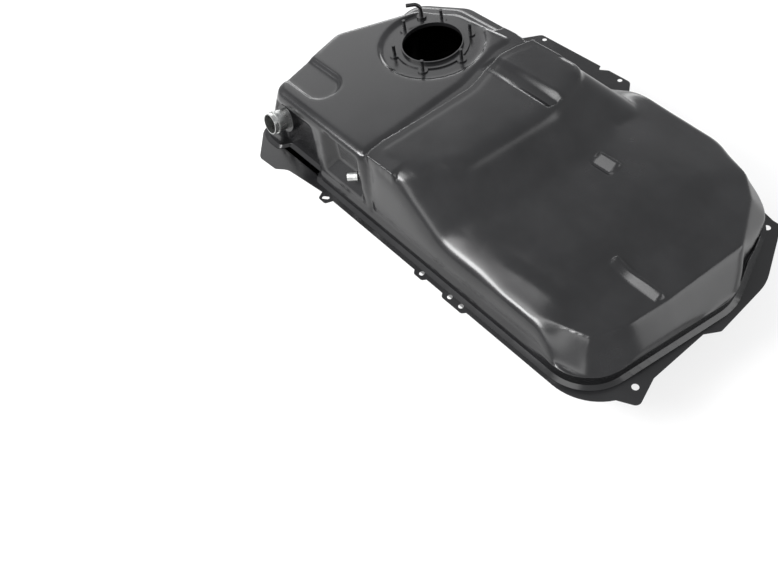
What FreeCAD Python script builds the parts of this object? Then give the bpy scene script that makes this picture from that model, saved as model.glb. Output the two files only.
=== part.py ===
import FreeCAD, Part
import math
import os

import Sketcher
from FreeCAD import Placement, Rotation, Vector

# Driving dimensions of the fuel tank, in millimetres and degrees.
# The origin is the point of the flat belly straight below the centre of the pump opening.
# +X runs from the pump end to the shallow end, the filler side is -Y and +Z is up.
SIZES = {
    # sheet and seam
    "sheet": 1.2,
    "belly_depth": 110,
    "deck_height": 140,
    # wall foot: where both stamped halves leave the seam flange
    "near_reach": 284,
    "far_reach": 217,
    "pump_end": 206,
    "pump_corner": 250,
    "shallow_near": 622,
    "shallow_bulge": 668,
    "shallow_far": 612,
    "pump_slant": 158,
    "bulge_place": 18,
    "shallow_far_place": 138,
    "far_bend": 480,
    "far_bulge": 300,
    "far_corner": 160,
    "pan_near": 606,
    "pan_bulge": 636,
    "pan_waist": 604,
    "pan_bulge_near": 150,
    "pan_waist_place": 38,
    "pan_bulge_far": 58,
    "pan_far_place": 146,
    "pan_bend": 470,
    # walls
    "wall_draft": 5,
    "ledge_width": 6,
    "ledge_height": 26,
    "ledge_lean": 2,
    "edge_radius": 15,
    # crown of the upper half
    "plateau_height": 86,
    "toe_height": 44,
    "far_edge_height": 28,
    "far_plateau_height": 62,
    "far_slope_width": 172,
    "near_drop": 20,
    "near_drop_width": 94,
    "crown_margin": 36,
    "crown_pitch": 42,
    "valley_start": 205,
    "valley_end": 325,
    "toe_start": 500,
    # crown of the lower half
    "step_depth": 80,
    "shelf_depth": 64,
    "heel_depth": 38,
    "step_place": 372,
    "shelf_run": 150,
    "heel_place": 520,
    "heel_run": 60,
    "far_rise": 22,
    "far_rise_width": 157,
    # pump deck
    "deck_inset": 15,
    "deck_far": 92,
    "deck_end": 150,
    "deck_right": 130,
    # hump beside the deck
    "hump_height": 143,
    "hump_inset": 18,
    "hump_far": 122,
    "hump_end": 290,
    "hump_slope": 195,
    # flat belly
    "belly_inset": 26,
    "belly_far": 118,
    "belly_end": 168,
    # seam flange
    "flange_width": 18,
    "upper_flange_width": 9,
    "far_flange_width": 22,
    # holes and tabs of the flange
    "hole_radius": 4.6,
    "corner_hole_radius": 5.6,
    "far_hole_first": 26,
    "far_hole_pitch": 192,
    "far_hole_margin": 46,
    "far_strip_margin": 8,
    "side_hole_first": 351,
    "side_hole_pitch": 26,
    "side_hole_margin": 15,
    "tab_margin": 9,
    "slot_place": 28,
    "slot_margin": 7,
    "lone_hole_place": 283,
    "far_tab_place": 317,
    "near_corner_x": 658,
    "near_corner_y": 222,
    "far_corner_x": 617,
    "far_corner_y": 141,
    # pump opening, its ring and studs
    "opening_radius": 54.5,
    "opening_clearance": 1,
    "stud_circle": 71,
    "stud_turn": 4,
    "stud_radius": 3,
    "stud_height": 20,
    "stud_count": 6,
    "ring_sheet": 2.5,
    "ring_radius": 67,
    "lobe_radius": 9,
    "lip_height": 5,
    "lip_wall": 2,
    "recess_radius": 97,
    "recess_depth": 5,
    # filler seat and side pocket, measured from the neck and from the nipple
    "seat_before": 56,
    "seat_after": 98,
    "seat_top": 122,
    "seat_inset": 20,
    "pocket_before": 108,
    "pocket_after": 28,
    "pocket_top": 130,
    "pocket_inset": 30,
    # strap grooves
    "strap_near": 203,
    "strap_far": 50,
    "strap_width": 62,
    "strap_depth": 9,
    "strap_end": 38,
    # filler neck
    "neck_place": 100,
    "neck_level": 90,
    "neck_tilt": 15,
    "neck_radius": 18.5,
    "neck_wall": 1.5,
    "neck_length": 46,
    "neck_inside": 22,
    "bead_radius": 1.6,
    "collar_radius": 25,
    "collar_length": 13,
    "fit_gap": 0.3,
    # vent pipe
    "vent_x": -76,
    "vent_y": 41,
    "vent_radius": 3.5,
    "vent_wall": 1,
    "vent_rise": 13,
    "vent_bend": 12,
    "vent_run": 14,
    "vent_heading": 230,
    "boss_radius": 9,
    "boss_height": 4,
    # breather nipple in the side pocket
    "nipple_x": 93,
    "nipple_inset": 27,
    "nipple_level": 64,
    "nipple_heading": 225,
    "nipple_radius": 3,
    "nipple_wall": 0.8,
    "nipple_inside": 12,
    "cap_radius": 8.5,
    "cap_start": 8,
    "cap_length": 18,
    "cap_end": 3,
    # inside the tank
    "baffle_first": 190,
    "baffle_pitch": 84,
    "baffle_height": 118,
    "baffle_inset": 48,
    "baffle_far": 92,
    "baffle_foot": 16,
    "baffle_hole": 24,
    "pot_radius": 62,
    "pot_height": 46,
}


def make_sheet(doc):
    """Spreadsheet that holds every driving dimension under its own name."""
    table = doc.addObject("Spreadsheet::Sheet", "Sizes")
    for row, (name, number) in enumerate(SIZES.items(), start=1):
        table.set("A%d" % row, name)
        table.set("B%d" % row, str(number))
        table.setAlias("B%d" % row, name)
    doc.recompute()
    return table


doc = FreeCAD.newDocument("FuelTank")
sizes = make_sheet(doc)


def value(expression):
    """Number that an expression on the sheet stands for."""
    return float(sizes.evalExpression(expression.replace("Sizes.", "")))


SIZE = {name: value(name) for name in SIZES}


def outline(name, corners):
    """Closed sketch of straight runs with a tangent arc at every corner.

    corners holds the x, y and radius of each corner as expressions, counter-clockwise.
    """
    sketch = doc.addObject("Sketcher::SketchObject", name)
    points = [Vector(value(x), value(y), 0) for x, y, _ in corners]
    count = len(points)
    arcs = []
    for i, point in enumerate(points):
        back = (points[i - 1] - point).normalize()
        ahead = (points[(i + 1) % count] - point).normalize()
        half = back.getAngle(ahead) / 2
        radius = value(corners[i][2])
        reach = radius / math.tan(half)
        centre = point + (back + ahead).normalize() * (radius / math.sin(half))
        left = back.cross(ahead).z < 0
        arcs.append((point + back * reach, point + ahead * reach, centre, radius, left))
    for i in range(count):
        sketch.addGeometry(Part.LineSegment(arcs[i][1], arcs[(i + 1) % count][0]), False)
    for start, end, centre, radius, left in arcs:
        first, last = (start, end) if left else (end, start)
        angles = [math.atan2(p.y - centre.y, p.x - centre.x) for p in (first, last)]
        circle = Part.Circle(centre, Vector(0, 0, 1), radius)
        sketch.addGeometry(Part.ArcOfCircle(circle, *angles), False)
    for point in points:
        sketch.addGeometry(Part.Point(point), True)
    for i, corner in enumerate(corners):
        line_in, line_out, arc, mark = (i - 1) % count, i, count + i, 2 * count + i
        start, end = (1, 2) if arcs[i][4] else (2, 1)
        sketch.addConstraint(Sketcher.Constraint("Tangent", line_in, 2, arc, start))
        sketch.addConstraint(Sketcher.Constraint("Tangent", arc, end, line_out, 1))
        sketch.addConstraint(Sketcher.Constraint("PointOnObject", mark, 1, line_in))
        sketch.addConstraint(Sketcher.Constraint("PointOnObject", mark, 1, line_out))
        driven = (
            (Sketcher.Constraint("DistanceX", -1, 1, mark, 1, points[i].x), corner[0]),
            (Sketcher.Constraint("DistanceY", -1, 1, mark, 1, points[i].y), corner[1]),
            (Sketcher.Constraint("Radius", arc, arcs[i][3]), corner[2]),
        )
        for constraint, expression in driven:
            index = sketch.addConstraint(constraint)
            sketch.setExpression("Constraints[%d]" % index, expression)
    return sketch


def inset_of(sketch, name, distance):
    """The outline moved inwards by a distance."""
    offset = doc.addObject("Part::Offset2D", name)
    offset.Source = sketch
    offset.Join = "Intersection"
    offset.Fill = False
    offset.setExpression("Value", "-(%s)" % distance)
    return offset


def prism(base, name, length, up=True, draft="0"):
    """Solid drawn straight up or down from an outline, its walls leaning inwards by the draft."""
    body = doc.addObject("Part::Extrusion", name)
    body.Base = base
    body.DirMode = "Custom"
    body.Dir = Vector(0, 0, 1 if up else -1)
    body.Solid = True
    body.setExpression("LengthFwd", length)
    body.setExpression("TaperAngle", "-(%s)" % draft)
    return body


def loft(sections, name):
    """Solid with straight sides between outlines."""
    body = doc.addObject("Part::Loft", name)
    body.Sections = sections
    body.Solid = True
    body.Ruled = True
    return body


def combine(kind, name, *shapes):
    """Fuse, common or cut of two or more objects."""
    if kind == "Cut":
        body = doc.addObject("Part::Cut", name)
        body.Base, body.Tool = shapes
    elif kind == "Common":
        body = doc.addObject("Part::MultiCommon", name)
        body.Shapes = list(shapes)
    else:
        body = doc.addObject("Part::MultiFuse", name)
        body.Shapes = list(shapes)
    return body


def smooth(number):
    """Soft step from 0 to 1."""
    number = min(max(number, 0.0), 1.0)
    return number * number * (3 - 2 * number)


def between(number, start, end):
    """Soft step of a number between two places."""
    return smooth((number - start) / (end - start))


def crown_height(x, y):
    """Height of the upper half over the seam, beside the hump."""
    valley = between(x, SIZE["valley_start"], SIZE["valley_end"])
    toe = between(x, SIZE["toe_start"], SIZE["shallow_near"] + 20)
    ridge = SIZE["plateau_height"] + (SIZE["toe_height"] - SIZE["plateau_height"]) * toe
    edge = SIZE["far_edge_height"] + (SIZE["far_plateau_height"] - SIZE["far_edge_height"]) * valley
    far = between(y, SIZE["far_reach"] - SIZE["far_slope_width"], SIZE["far_reach"])
    near = between(-y, SIZE["near_reach"] - SIZE["near_drop_width"], SIZE["near_reach"])
    return ridge + (min(edge, ridge) - ridge) * far - SIZE["near_drop"] * near * (1 - toe)


def tray_depth(x, y):
    """Depth of the lower half under the seam, beside the flat belly."""
    shelf = between(x, SIZE["step_place"], SIZE["step_place"] + SIZE["shelf_run"])
    heel = between(x, SIZE["heel_place"], SIZE["heel_place"] + SIZE["heel_run"])
    depth = SIZE["step_depth"] + (SIZE["shelf_depth"] - SIZE["step_depth"]) * shelf
    depth += (SIZE["heel_depth"] - SIZE["shelf_depth"]) * heel
    far = between(y, SIZE["far_reach"] - SIZE["far_rise_width"], SIZE["far_reach"])
    return depth - SIZE["far_rise"] * far * (1 - heel)


def crown(name, height_at, side, drop, start_x):
    """Solid between the seam plane and a smooth surface through heights on a grid.

    drop lowers the surface and moves its start inwards, so that the sheet closes the tray's end too.
    """
    pitch = SIZE["crown_pitch"]
    near = -SIZE["near_reach"] - SIZE["crown_margin"]
    rows = round((SIZE["far_reach"] + 9 - near) / pitch) + 1
    columns = math.ceil((SIZE["shallow_bulge"] + 60 - start_x) / pitch) + 1
    start = Vector(start_x + drop, near, SIZE["belly_depth"])
    points = []
    for i in range(columns):
        spots = [start + Vector(i * pitch, j * pitch, 0) for j in range(rows)]
        points.append([p + Vector(0, 0, side * (height_at(p.x, p.y) - drop)) for p in spots])
    surface = Part.BSplineSurface()
    surface.interpolate(points)
    body = doc.addObject("Part::Feature", name)
    body.Shape = surface.toShape().extrude(Vector(0, 0, -side * (SIZE["deck_height"] + SIZE["belly_depth"])))
    return body


def soft_crown(base, name, radius):
    """Common solid with the rim of its crown rounded."""
    doc.recompute()
    roof = max((f for f in base.Shape.Faces if f.Surface.TypeId == "Part::GeomBSplineSurface"),
               key=lambda face: face.Area)
    rim = {edge.hashCode() for edge in roof.Edges}
    picked = [i for i, edge in enumerate(base.Shape.Edges, start=1) if edge.hashCode() in rim]
    fillet = doc.addObject("Part::Fillet", name)
    fillet.Base = base
    fillet.Edges = [(i, radius, radius) for i in picked]
    return fillet


def rounded_stack(name, low, high, side, low_level, high_level, inset, radius):
    """Loft from a low outline to a high one whose top edge is rounded in three steps."""
    sign = "" if side > 0 else "-"
    steps = [
        (low, inset, low_level),
        (high, inset, "%s - %s" % (high_level, radius)),
        (high, "%s + 0.3 * %s" % (inset, radius), "%s - 0.3 * %s" % (high_level, radius)),
        (high, "%s + %s" % (inset, radius), high_level),
    ]
    sections = []
    for number, (sketch, distance, level) in enumerate(steps):
        section = inset_of(sketch, "%s_section%d" % (name, number), distance)
        section.setExpression("Placement.Base.z", "Sizes.belly_depth + %s(%s)" % (sign, level))
        sections.append(section)
    return loft(sections, name)


def foot_outline(name):
    """Wall foot of the upper half."""
    return outline(name, [
        ("-Sizes.pump_end", "-Sizes.near_reach", "38"),
        ("Sizes.shallow_near", "-Sizes.near_reach - 4", "74"),
        ("Sizes.shallow_bulge", "-Sizes.bulge_place", "90"),
        ("Sizes.shallow_far", "Sizes.shallow_far_place", "60"),
        ("Sizes.far_bend", "Sizes.far_reach - 12", "110"),
        ("Sizes.far_bulge", "Sizes.far_reach + 2", "110"),
        ("-Sizes.far_corner", "Sizes.far_reach - 3", "46"),
        ("-Sizes.pump_corner", "Sizes.pump_slant", "46"),
    ])


def pan_outline(name):
    """Wall foot of the lower half, drawn in at the shallow end behind a wide flange."""
    return outline(name, [
        ("-Sizes.pump_end", "-Sizes.near_reach", "38"),
        ("Sizes.pan_near", "-Sizes.near_reach", "66"),
        ("Sizes.pan_bulge", "-Sizes.pan_bulge_near", "60"),
        ("Sizes.pan_waist", "-Sizes.pan_waist_place", "40"),
        ("Sizes.pan_bulge", "Sizes.pan_bulge_far", "50"),
        ("Sizes.pan_near - 14", "Sizes.pan_far_place", "60"),
        ("Sizes.pan_bend", "Sizes.far_reach - 14", "90"),
        ("Sizes.far_bulge", "Sizes.far_reach + 2", "110"),
        ("-Sizes.far_corner", "Sizes.far_reach - 3", "46"),
        ("-Sizes.pump_corner", "Sizes.pump_slant", "46"),
    ])


def deck_outline(name):
    """Edge of the pump deck."""
    return outline(name, [
        ("-Sizes.deck_end + 16", "Sizes.deck_inset - Sizes.near_reach", "26"),
        ("Sizes.deck_right", "Sizes.deck_inset - Sizes.near_reach - 3", "18"),
        ("Sizes.deck_right", "-40", "60"),
        ("Sizes.deck_right - 22", "60", "40"),
        ("Sizes.deck_right - 16", "Sizes.deck_far + 16", "20"),
        ("-32", "Sizes.deck_far", "60"),
        ("-102", "50", "40"),
        ("-Sizes.deck_end - 20", "-92", "34"),
    ])


def deck_foot(name):
    """Where the slopes under the pump deck start, inside the ledge."""
    return outline(name, [
        ("-Sizes.pump_end + 6", "-Sizes.near_reach + 5", "34"),
        ("Sizes.deck_right + 12", "-Sizes.near_reach + 5", "18"),
        ("Sizes.deck_right + 12", "-40", "60"),
        ("Sizes.deck_right - 6", "60", "40"),
        ("Sizes.deck_right + 4", "Sizes.far_reach - 6", "20"),
        ("-40", "Sizes.far_reach - 8", "60"),
        ("10 - Sizes.far_corner", "Sizes.far_reach - 10", "40"),
        ("-Sizes.pump_corner + 8", "Sizes.pump_slant - 8", "40"),
    ])


def hump_outline(name):
    """Edge of the hump's top, a low step above the deck."""
    return outline(name, [
        ("Sizes.deck_right - 6", "Sizes.hump_inset - Sizes.near_reach", "26"),
        ("Sizes.hump_end - 78", "Sizes.hump_inset - Sizes.near_reach", "34"),
        ("Sizes.hump_end - 20", "-172", "60"),
        ("Sizes.hump_end", "10", "80"),
        ("Sizes.hump_end - 32", "Sizes.hump_far", "40"),
        ("Sizes.deck_right + 6", "Sizes.hump_far", "16"),
        ("Sizes.deck_right - 16", "52", "60"),
        ("Sizes.deck_right + 10", "-44", "80"),
    ])


def hump_foot(name):
    """Where the slopes under the hump start: steep beside the deck, long towards the plateau."""
    return outline(name, [
        ("Sizes.deck_right - 14", "-Sizes.near_reach + 5", "26"),
        ("Sizes.hump_end + Sizes.hump_slope - 85", "-Sizes.near_reach + 5", "34"),
        ("Sizes.hump_end + Sizes.hump_slope - 45", "-180", "60"),
        ("Sizes.hump_end + Sizes.hump_slope", "10", "80"),
        ("Sizes.hump_end + Sizes.hump_slope - 55", "Sizes.far_reach - 6", "40"),
        ("Sizes.deck_right", "Sizes.far_reach - 6", "16"),
        ("Sizes.deck_right - 22", "52", "60"),
        ("Sizes.deck_right + 2", "-44", "80"),
    ])


def belly_outline(name):
    """Edge of the flat belly."""
    return outline(name, [
        ("-Sizes.belly_end + 8", "Sizes.belly_inset - Sizes.near_reach", "40"),
        ("Sizes.step_place - 16", "Sizes.belly_inset - Sizes.near_reach", "30"),
        ("Sizes.step_place - 62", "Sizes.belly_far", "50"),
        ("-104", "Sizes.belly_far - 4", "30"),
        ("-Sizes.belly_end - 8", "58", "40"),
    ])


def belly_foot(name):
    """Where the slopes of the belly start, inside the ledge."""
    return outline(name, [
        ("-Sizes.pump_end + 6", "-Sizes.near_reach + 5", "34"),
        ("Sizes.step_place + 24", "-Sizes.near_reach + 5", "30"),
        ("Sizes.step_place - 10", "Sizes.far_reach - 12", "50"),
        ("4 - Sizes.far_corner", "Sizes.far_reach - 10", "40"),
        ("-Sizes.pump_corner + 8", "Sizes.pump_slant - 8", "40"),
    ])


def half_volume(name, side, inset, foot, blocks, height_at, tray_start):
    """Volume of one stamped half: skirt, crowned tray and raised blocks.

    blocks holds the foot outline, top outline and height of each block.
    inset moves every wall inwards, so that the volume less its inset copy leaves the sheet.
    """
    radius = "(Sizes.edge_radius - %s)" % inset
    skirt_top = inset_of(foot, name + "_lean", "Sizes.ledge_lean")
    skirt = rounded_stack(name + "_skirt", foot, skirt_top, side, "0", "Sizes.ledge_height - %s" % inset,
                          inset, radius)
    tray_foot = inset_of(foot, name + "_tray_foot", "Sizes.ledge_width + %s" % inset)
    tray_foot.setExpression("Placement.Base.z", "Sizes.belly_depth")
    walls = prism(tray_foot, name + "_walls", "Sizes.deck_height", side > 0, "Sizes.wall_draft")
    roof = crown(name + "_crown", height_at, side, value(inset), tray_start)
    tray = soft_crown(combine("Common", name + "_tray", walls, roof), name + "_soft_tray", value(radius))
    raised = [rounded_stack("%s_block%d" % (name, number), low, high, side, "0.4 * Sizes.ledge_height",
                            "%s - %s" % (height, inset), inset, radius)
              for number, (low, high, height) in enumerate(blocks)]
    return combine("Fuse", name, skirt, tray, *raised)


UPPER_FOOT = foot_outline("upper_foot")
UPPER_BLOCKS = [
    (deck_foot("deck_foot"), deck_outline("deck_edge"), "Sizes.deck_height"),
    (hump_foot("hump_foot"), hump_outline("hump_edge"), "Sizes.hump_height"),
]
PAN_FOOT = pan_outline("pan_foot")
PAN_BLOCKS = [(belly_foot("belly_foot"), belly_outline("belly_edge"), "Sizes.belly_depth")]


def upper_volume(name, inset):
    """Volume of the upper half."""
    start_x = SIZE["deck_right"] + 60
    return half_volume(name, 1, inset, UPPER_FOOT, UPPER_BLOCKS, crown_height, start_x)


def pan_volume(name, inset):
    """Volume of the lower half."""
    start_x = SIZE["step_place"] - 150
    return half_volume(name, -1, inset, PAN_FOOT, PAN_BLOCKS, tray_depth, start_x)


def cylinder(name, radius, height, x="0", y="0", z="0"):
    """Upright cylinder."""
    body = doc.addObject("Part::Cylinder", name)
    body.setExpression("Radius", radius)
    body.setExpression("Height", height)
    for axis, expression in (("x", x), ("y", y), ("z", z)):
        body.setExpression("Placement.Base." + axis, expression)
    return body


def wedge(name, outside, inside, grow):
    """Tool that narrows from outside the near wall to its depth inside.

    outside and inside hold y and the x and z limits there as expressions, grow widens all of them.
    """
    body = doc.addObject("Part::Wedge", name)
    for prefix, (y, limits) in (("", outside), ("2", inside)):
        low_x, high_x, low_z, high_z = limits
        body.setExpression("X%smin" % prefix, "%s - %s" % (low_x, grow))
        body.setExpression("X%smax" % prefix, "%s + %s" % (high_x, grow))
        body.setExpression("Z%smin" % prefix, "Sizes.belly_depth + %s - %s" % (low_z, grow))
        body.setExpression("Z%smax" % prefix, "Sizes.belly_depth + %s + %s" % (high_z, grow))
    body.setExpression("Ymin", outside[0])
    body.setExpression("Ymax", "%s + %s" % (inside[0], grow))
    return body


def strap_groove(name, middle, inner_end, level, up, grow):
    """Tool for a groove that starts beyond the pump end and stops in a round end."""
    half = "Sizes.strap_width / 2"
    radius = "Sizes.strap_width / 2 - 0.5"
    slot = outline(name + "_outline", [
        ("-Sizes.pump_corner - 80", "%s - %s" % (middle, half), radius),
        (inner_end, "%s - %s" % (middle, half), radius),
        (inner_end, "%s + %s" % (middle, half), radius),
        ("-Sizes.pump_corner - 80", "%s + %s" % (middle, half), radius),
    ])
    wide = inset_of(slot, name + "_wide", "0.01 - %s" % grow)
    wide.setExpression("Placement.Base.z", level)
    return prism(wide, name, "40", up, "-25")


def upper_tools(name, grow):
    """Recesses pressed into the upper half: pump seat, strap groove, filler seat and side pocket."""
    near = "-Sizes.near_reach - 16"
    seat_level = "Sizes.belly_depth + Sizes.deck_height - Sizes.recess_depth - %s" % grow
    groove_level = "Sizes.belly_depth + Sizes.deck_height - Sizes.strap_depth - %s" % grow
    place = "-Sizes.neck_place"
    nipple = "Sizes.nipple_x"
    return [
        cylinder(name + "_seat", "Sizes.recess_radius + %s" % grow, "60", z=seat_level),
        strap_groove(name + "_strap", "-Sizes.strap_near", "-Sizes.strap_end", groove_level, True, grow),
        wedge(name + "_filler_seat",
              (near, (place + " - Sizes.seat_before", place + " + Sizes.seat_after", "-20", "Sizes.seat_top")),
              ("-Sizes.near_reach + Sizes.seat_inset",
               (place + " - Sizes.seat_before + 22", place + " + Sizes.seat_after - 26",
                "-20", "Sizes.seat_top - 8")),
              grow),
        wedge(name + "_side_pocket",
              (near, (nipple + " - Sizes.pocket_before", nipple + " + Sizes.pocket_after", "6", "Sizes.pocket_top")),
              ("-Sizes.near_reach + Sizes.pocket_inset",
               (nipple + " - Sizes.pocket_before + 38", nipple + " + Sizes.pocket_after - 20",
                "Sizes.nipple_level - 6", "Sizes.pocket_top - 6")),
              grow),
    ]


def pan_tools(name, grow):
    """Recesses pressed into the belly: where the two straps pass the pump end."""
    level = "Sizes.strap_depth + %s" % grow
    end = "-Sizes.belly_end + 46"
    return [
        strap_groove(name + "_near_strap", "-Sizes.strap_near", end, level, False, grow),
        strap_groove(name + "_far_strap", "-Sizes.strap_far", end, level, False, grow),
    ]


def flange_corners():
    """Outer edge of the wide lower flange."""
    near = "-Sizes.near_reach - Sizes.flange_width"
    far = "Sizes.far_reach + Sizes.far_flange_width"
    return [
        ("-Sizes.pump_end - 4", near + " + 22", "30"),
        ("-152", near + " - 28", "16"),
        ("-104", near + " - 25", "8"),
        ("-84", near + " - 10", "30"),
        ("8", near, "80"),
        ("Sizes.shallow_near + 42", near, "94"),
        ("Sizes.shallow_bulge + 2", "-86", "5"),
        ("Sizes.shallow_bulge + 17", "-64", "8"),
        ("Sizes.shallow_bulge + 12", "50", "90"),
        ("Sizes.shallow_far + 20", "Sizes.shallow_far_place + 16", "46"),
        ("Sizes.far_bulge + 30", far, "60"),
        ("-Sizes.far_corner - 8", far, "46"),
        ("-Sizes.pump_corner - 20", "Sizes.pump_slant + 18", "46"),
    ]


def plate(name, corners):
    """Flat piece of the lower flange."""
    flat = outline(name + "_outline", corners)
    flat.setExpression("Placement.Base.z", "Sizes.belly_depth")
    return prism(flat, name, "Sizes.sheet", False)


def side_tab(name, first, last, hole_y, edge_y, near=True):
    """Tab on a long side that carries one or two holes in a row along X."""
    sign = "-" if near else "+"
    grip = "(Sizes.hole_radius + Sizes.tab_margin - 4)"
    corners = [
        ("%s - 18" % first, edge_y, "3"),
        ("%s - %s" % (first, grip), "%s %s %s" % (hole_y, sign, grip), "6"),
        ("%s + %s" % (last, grip), "%s %s %s" % (hole_y, sign, grip), "6"),
        ("%s + 18" % last, edge_y, "3"),
    ]
    return plate(name, corners if near else corners[::-1])


def drilled(base, name, radius, spots):
    """Flat piece with round holes through it."""
    tools = []
    for number, (x, y) in enumerate(spots):
        tools.append(cylinder("%s_hole%d" % (name, number), radius, "10", x, y, "Sizes.belly_depth - 5"))
    return combine("Cut", name, base, combine("Fuse", name + "_holes", *tools))


def lower_flange():
    """Wide flange of the lower half with its tabs and mounting holes."""
    far = "Sizes.far_reach + Sizes.far_hole_margin"
    second = "Sizes.far_hole_first + Sizes.far_hole_pitch"
    strip_top = far + " + Sizes.far_strip_margin"
    strip_root = "Sizes.far_reach + 10"
    side = "-Sizes.near_reach - Sizes.side_hole_margin"
    near_x, near_y = "Sizes.near_corner_x", "-Sizes.near_corner_y"
    far_x, far_y = "Sizes.far_corner_x", "Sizes.far_corner_y"
    far_tab_y = "Sizes.far_reach + Sizes.far_flange_width"
    slot_y = side + " - Sizes.slot_margin"
    near_edge = "-Sizes.near_reach - Sizes.flange_width + 4"
    pieces = [
        plate("flange_sheet", FLANGE_CORNERS),
        plate("far_strip", [
            ("Sizes.far_hole_first - 46", strip_root, "4"),
            (second + " + 50", strip_root, "4"),
            (second + " + 18", strip_top, "12"),
            (second + " - 34", strip_top, "5"),
            (second + " - 50", strip_top + " - 10", "3"),
            (second + " - 54", strip_top, "2"),
            ("Sizes.far_hole_first - 14", strip_top, "12"),
        ]),
        plate("near_corner_tab", [
            (near_x + " - 32", near_y + " - 28", "6"),
            (near_x + " - 26", near_y + " - 46", "20"),
            (near_x + " + 24", near_y + " - 20", "10"),
            (near_x + " + 4", near_y + " + 46", "20"),
            (near_x + " - 18", near_y + " + 46", "6"),
        ]),
        plate("far_corner_tab", [
            (far_x + " - 17", far_y + " - 31", "6"),
            (far_x + " + 35", far_y + " - 45", "10"),
            (far_x + " + 17", far_y + " + 17", "13"),
            (far_x + " - 29", far_y + " + 19", "20"),
        ]),
        side_tab("slot_tab", "Sizes.slot_place", "Sizes.slot_place", slot_y, near_edge),
        side_tab("side_tab", "Sizes.lone_hole_place", "Sizes.lone_hole_place", side, near_edge),
        side_tab("side_pair_tab", "Sizes.side_hole_first", "Sizes.side_hole_first + Sizes.side_hole_pitch",
                 side, near_edge),
        side_tab("far_tab", "Sizes.far_tab_place", "Sizes.far_tab_place", far_tab_y, "Sizes.far_reach + 12", False),
    ]
    sheet = combine("Fuse", "flange_blank", *pieces)
    small = drilled(sheet, "flange_small_holes", "Sizes.hole_radius", [
        ("Sizes.far_hole_first", far),
        (second, far),
        ("Sizes.lone_hole_place", side),
        ("Sizes.side_hole_first", side),
        ("Sizes.side_hole_first + Sizes.side_hole_pitch", side),
        ("Sizes.far_tab_place", far_tab_y),
    ])
    large = drilled(small, "flange_corner_holes", "Sizes.corner_hole_radius", [(near_x, near_y), (far_x, far_y)])
    slot = [("Sizes.slot_place + %s" % along, slot_y + " + %s" % across)
            for along, across in ((-3, -2), (-1, -0.7), (1, 0.7), (3, 2))]
    return drilled(large, "flange_drilled", "Sizes.hole_radius - 1", slot)


def rod(name, radius, origin, direction, start, end):
    """Cylinder along an axis, from one distance to another from the origin of the axis."""
    body = doc.addObject("Part::Cylinder", name)
    body.setExpression("Radius", radius)
    body.setExpression("Height", "(%s) - (%s)" % (end, start))
    turn = Rotation(Vector(0, 0, 1), direction)
    body.Placement = Placement(origin + direction * value(start), turn)
    return body


def pipe(name, radius, wall, origin, direction, start, end):
    """Straight round tube along an axis."""
    outside = rod(name + "_outside", radius, origin, direction, start, end)
    bore = rod(name + "_bore", "%s - %s" % (radius, wall), origin, direction, start + " - 1", end + " + 1")
    return combine("Cut", name, outside, bore)


def heading(degrees, tilt=0.0):
    """Direction with a compass angle from +X and a rise over the horizontal."""
    flat = math.cos(math.radians(tilt))
    turn = math.radians(degrees)
    return Vector(flat * math.cos(turn), flat * math.sin(turn), math.sin(math.radians(tilt)))


def bent_pipe(name, path, radius, wall):
    """Round tube along straight runs joined by tangent arcs."""
    start = path.Edges[0]
    way = start.tangentAt(start.FirstParameter)
    walls = []
    for size in (radius, radius - wall):
        ring = Part.Wire(Part.Circle(start.Vertexes[0].Point, way, size).toShape())
        walls.append(path.makePipeShell([ring], True, True))
    body = doc.addObject("Part::Feature", name)
    body.Shape = walls[0].cut(walls[1])
    return body


def final(body, label):
    """Names a finished sub-part."""
    body.Label = label
    finished.append(body)
    return body


finished = []
FLANGE_CORNERS = flange_corners()
upper_outer = upper_volume("upper_outer", "0")
upper_inner = upper_volume("upper_inner", "Sizes.sheet")
pressed_outer = combine("Cut", "upper_pressed", upper_outer,
                        combine("Fuse", "upper_presses", *upper_tools("press", "0")))
pressed_inner = combine("Cut", "upper_hollow", upper_inner,
                        combine("Fuse", "upper_hollow_presses", *upper_tools("hollow_press", "Sizes.sheet")))
pan_outer = combine("Cut", "pan_pressed", pan_volume("pan_outer", "0"),
                    combine("Fuse", "pan_presses", *pan_tools("pan_press", "0")))
pan_inner = combine("Cut", "pan_hollow", pan_volume("pan_inner", "Sizes.sheet"),
                    combine("Fuse", "pan_hollow_presses", *pan_tools("pan_hollow_press", "Sizes.sheet")))
deck_level = "Sizes.belly_depth + Sizes.deck_height"
seat_level = deck_level + " - Sizes.recess_depth"
neck_origin = Vector(-SIZE["neck_place"], -SIZE["near_reach"] + 20, SIZE["belly_depth"] + SIZE["neck_level"])
neck_way = heading(270, SIZE["neck_tilt"])
nipple_origin = Vector(SIZE["nipple_x"], SIZE["nipple_inset"] - SIZE["near_reach"],
                       SIZE["belly_depth"] + SIZE["nipple_level"])
nipple_way = heading(SIZE["nipple_heading"])

# Upper half: pressed shell, narrow flange and the holes for the fittings.
upper_flange = prism(inset_of(UPPER_FOOT, "upper_flange_edge", "-Sizes.upper_flange_width"),
                     "upper_flange", "Sizes.sheet")
upper_flange.setExpression("Placement.Base.z", "Sizes.belly_depth")
upper_solid = combine("Fuse", "upper_solid", pressed_outer, upper_flange)
upper_sheet = combine("Cut", "upper_sheet", upper_solid, pressed_inner)
upper_holes = combine(
    "Fuse", "upper_holes",
    cylinder("pump_hole", "Sizes.opening_radius + Sizes.opening_clearance", "60", z=deck_level + " - 40"),
    cylinder("vent_hole", "Sizes.vent_radius + Sizes.fit_gap", "60", "Sizes.vent_x", "Sizes.vent_y",
             deck_level + " - 40"),
    rod("neck_hole", "Sizes.neck_radius + Sizes.fit_gap", neck_origin, neck_way, "-30", "30"),
    rod("nipple_hole", "Sizes.nipple_radius + Sizes.fit_gap", nipple_origin, nipple_way, "-20", "8"),
)
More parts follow.
